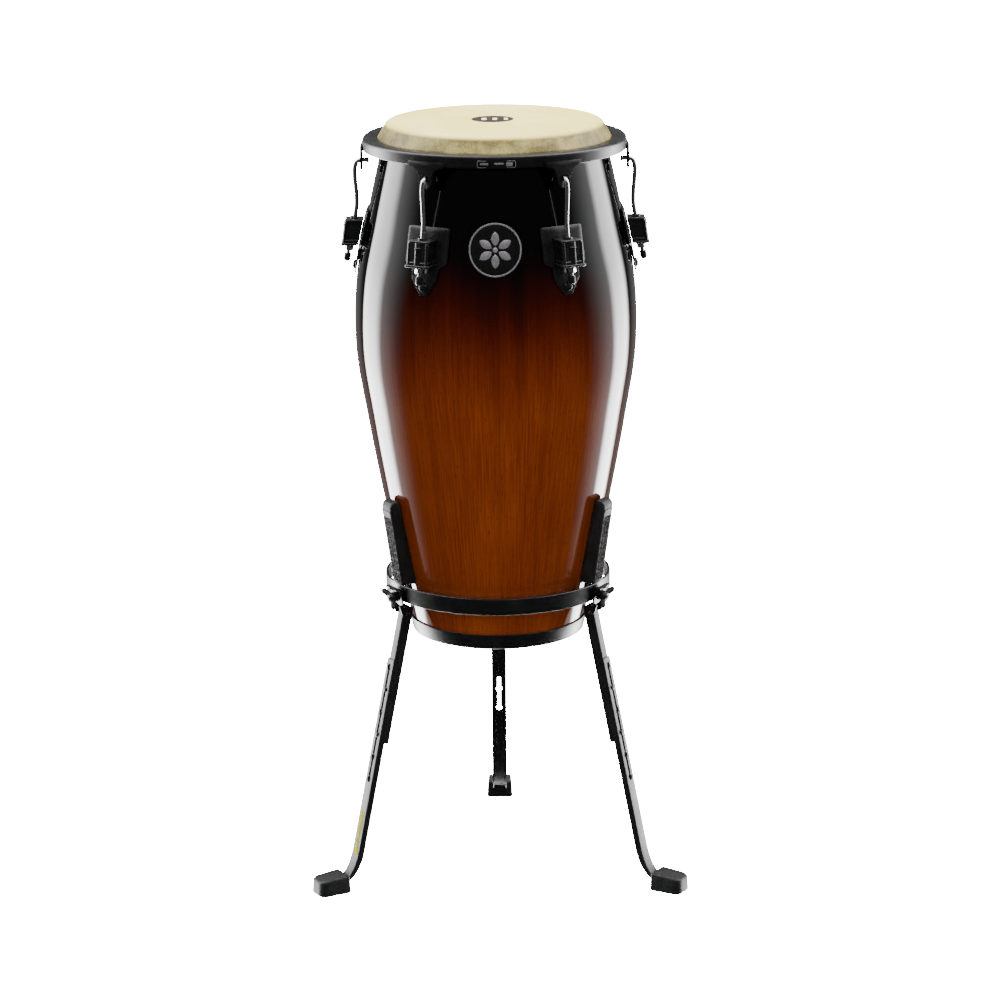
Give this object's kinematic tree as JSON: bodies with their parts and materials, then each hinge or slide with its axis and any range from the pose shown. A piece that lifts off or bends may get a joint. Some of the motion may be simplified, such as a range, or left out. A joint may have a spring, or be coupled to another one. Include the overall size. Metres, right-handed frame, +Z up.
{
  "type": "conga drum",
  "caption": "Tall barrel-shaped hand drum with a skin head on a tension rim and hooks, cradled in sleeved arms on a ring stand with folding, adjustable splayed legs",
  "frame": {"origin": "on the floor, at the middle of the bounding box's base", "axes": "+Z up, -Y the front of the drum, +X to the right seen from the front; one stand leg points to +Y"},
  "size_m": [0.529, 0.4868, 1.0542],
  "materials": {
    "lacquered_wood": "high-gloss lacquer, dark at the top, amber brown below",
    "head_skin": "matt pale cream skin, mottled olive-beige on the skirt",
    "plain_steel": "plain bright steel",
    "black_steel": "black satin powder coat",
    "chrome": "polished chrome plate",
    "black_rubber": "matt moulded rubber, cross-hatched on the sleeves",
    "black_plastic": "black moulded plastic, slightly glossy",
    "silver_badge": "bright satin badge",
    "yellow_label": "plain yellow sticker"
  },
  "bodies": {
    "stand": {"basket_ring": "black_steel", "cradle_arm_1": "black_steel", "arm_sleeve_1": "black_rubber", "leg_bracket_1": "black_steel", "clamp_bolt_1": "chrome", "cradle_arm_2": "black_steel", "arm_sleeve_2": "black_rubber", "leg_bracket_2": "black_steel", "clamp_bolt_2": "chrome", "cradle_arm_3": "black_steel", "arm_sleeve_3": "black_rubber", "leg_bracket_3": "black_steel", "clamp_bolt_3": "chrome"},
    "drum": {"shell": "lacquered_wood", "drum_head": "head_skin", "flesh_hoop": "plain_steel", "bottom_ring": "black_steel", "lug_casing_1": "black_steel", "backing_plate_1": "black_steel", "casing_bolt_1": "black_steel", "lug_casing_2": "black_steel", "backing_plate_2": "black_steel", "casing_bolt_2": "black_steel", "lug_casing_3": "black_steel", "backing_plate_3": "black_steel", "casing_bolt_3": "black_steel", "lug_casing_4": "black_steel", "backing_plate_4": "black_steel", "casing_bolt_4": "black_steel", "lug_casing_5": "black_steel", "backing_plate_5": "black_steel", "casing_bolt_5": "black_steel", "lug_casing_6": "black_steel", "backing_plate_6": "black_steel", "casing_bolt_6": "black_steel"},
    "rim": {"tension_rim": "black_steel", "tuning_hook_1": "chrome", "tuning_hook_2": "chrome", "tuning_hook_3": "chrome", "tuning_hook_4": "chrome", "tuning_hook_5": "chrome", "tuning_hook_6": "chrome"},
    "nut_1": {"tuning_nut_1": "chrome"},
    "nut_2": {"tuning_nut_2": "chrome"},
    "nut_3": {"tuning_nut_3": "chrome"},
    "nut_4": {"tuning_nut_4": "chrome"},
    "nut_5": {"tuning_nut_5": "chrome"},
    "nut_6": {"tuning_nut_6": "chrome"},
    "upper_leg_1": {"upper_leg_1": "black_steel"},
    "lower_leg_1": {"lower_leg_1": "black_steel", "rubber_foot_1": "black_rubber"},
    "wing_nut_1": {"wing_nut_1": "black_plastic"},
    "upper_leg_2": {"upper_leg_2": "black_steel"},
    "lower_leg_2": {"lower_leg_2": "black_steel", "rubber_foot_2": "black_rubber"},
    "wing_nut_2": {"wing_nut_2": "black_plastic"},
    "upper_leg_3": {"upper_leg_3": "black_steel"},
    "lower_leg_3": {"lower_leg_3": "black_steel", "rubber_foot_3": "black_rubber"},
    "wing_nut_3": {"wing_nut_3": "black_plastic"}
  },
  "joints": [
    {"name": "drum_lift", "type": "slide", "parent": "stand", "child": "drum", "axis": [0, 0, 1], "range_m": [0, 0.22]},
    {"name": "rim_slack", "type": "slide", "parent": "drum", "child": "rim", "axis": [0, 0, 1], "range_m": [0, 0.004]},
    {"name": "tuning_nut_turn_1", "type": "hinge", "parent": "drum", "child": "nut_1", "pos_m": [0.19796, -0.05115, 0.88385], "axis": [0.1994, 0, -0.9799], "range_deg": [0, 1155]},
    {"name": "tuning_nut_turn_2", "type": "hinge", "parent": "drum", "child": "nut_2", "pos_m": [0.09898, 0.12029, 0.88385], "axis": [0.0997, 0.1727, -0.9799], "range_deg": [0, 1155]},
    {"name": "tuning_nut_turn_3", "type": "hinge", "parent": "drum", "child": "nut_3", "pos_m": [-0.09898, 0.12029, 0.88385], "axis": [-0.0997, 0.1727, -0.9799], "range_deg": [0, 1155]},
    {"name": "tuning_nut_turn_4", "type": "hinge", "parent": "drum", "child": "nut_4", "pos_m": [-0.19796, -0.05115, 0.88385], "axis": [-0.1994, 0, -0.9799], "range_deg": [0, 1155]},
    {"name": "tuning_nut_turn_5", "type": "hinge", "parent": "drum", "child": "nut_5", "pos_m": [-0.09898, -0.22259, 0.88385], "axis": [-0.0997, -0.1727, -0.9799], "range_deg": [0, 1155]},
    {"name": "tuning_nut_turn_6", "type": "hinge", "parent": "drum", "child": "nut_6", "pos_m": [0.09898, -0.22259, 0.88385], "axis": [0.0997, -0.1727, -0.9799], "range_deg": [0, 1155]},
    {"name": "leg_fold_1", "type": "hinge", "parent": "stand", "child": "upper_leg_1", "pos_m": [-0.1306, -0.12655, 0.3906], "axis": [0.5, -0.866, 0], "range_deg": [0, 28]},
    {"name": "leg_length_1", "type": "slide", "parent": "upper_leg_1", "child": "lower_leg_1", "axis": [-0.1889, -0.1091, -0.9759], "range_m": [-0.064, 0.032]},
    {"name": "wing_nut_turn_1", "type": "hinge", "parent": "stand", "child": "wing_nut_1", "pos_m": [-0.13761, -0.1306, 0.411], "axis": [-0.8486, -0.49, -0.1994], "continuous": true},
    {"name": "leg_fold_2", "type": "hinge", "parent": "stand", "child": "upper_leg_2", "pos_m": [0.1306, -0.12655, 0.3906], "axis": [0.5, 0.866, 0], "range_deg": [0, 28]},
    {"name": "leg_length_2", "type": "slide", "parent": "upper_leg_2", "child": "lower_leg_2", "axis": [0.1889, -0.1091, -0.9759], "range_m": [-0.064, 0.032]},
    {"name": "wing_nut_turn_2", "type": "hinge", "parent": "stand", "child": "wing_nut_2", "pos_m": [0.13761, -0.1306, 0.411], "axis": [0.8486, -0.49, -0.1994], "continuous": true},
    {"name": "leg_fold_3", "type": "hinge", "parent": "stand", "child": "upper_leg_3", "pos_m": [0, 0.09965, 0.3906], "axis": [-1, 0, 0], "range_deg": [0, 28]},
    {"name": "leg_length_3", "type": "slide", "parent": "upper_leg_3", "child": "lower_leg_3", "axis": [0, 0.2181, -0.9759], "range_m": [-0.064, 0.032]},
    {"name": "wing_nut_turn_3", "type": "hinge", "parent": "stand", "child": "wing_nut_3", "pos_m": [0, 0.10775, 0.411], "axis": [0, 0.9799, -0.1994], "continuous": true}
  ],
  "couplings": [
    {"joint": "tuning_nut_turn_1", "follows": "rim_slack", "rad_per_m": 5026.5},
    {"joint": "tuning_nut_turn_2", "follows": "rim_slack", "rad_per_m": 5026.5},
    {"joint": "tuning_nut_turn_3", "follows": "rim_slack", "rad_per_m": 5026.5},
    {"joint": "tuning_nut_turn_4", "follows": "rim_slack", "rad_per_m": 5026.5},
    {"joint": "tuning_nut_turn_5", "follows": "rim_slack", "rad_per_m": 5026.5},
    {"joint": "tuning_nut_turn_6", "follows": "rim_slack", "rad_per_m": 5026.5}
  ]
}
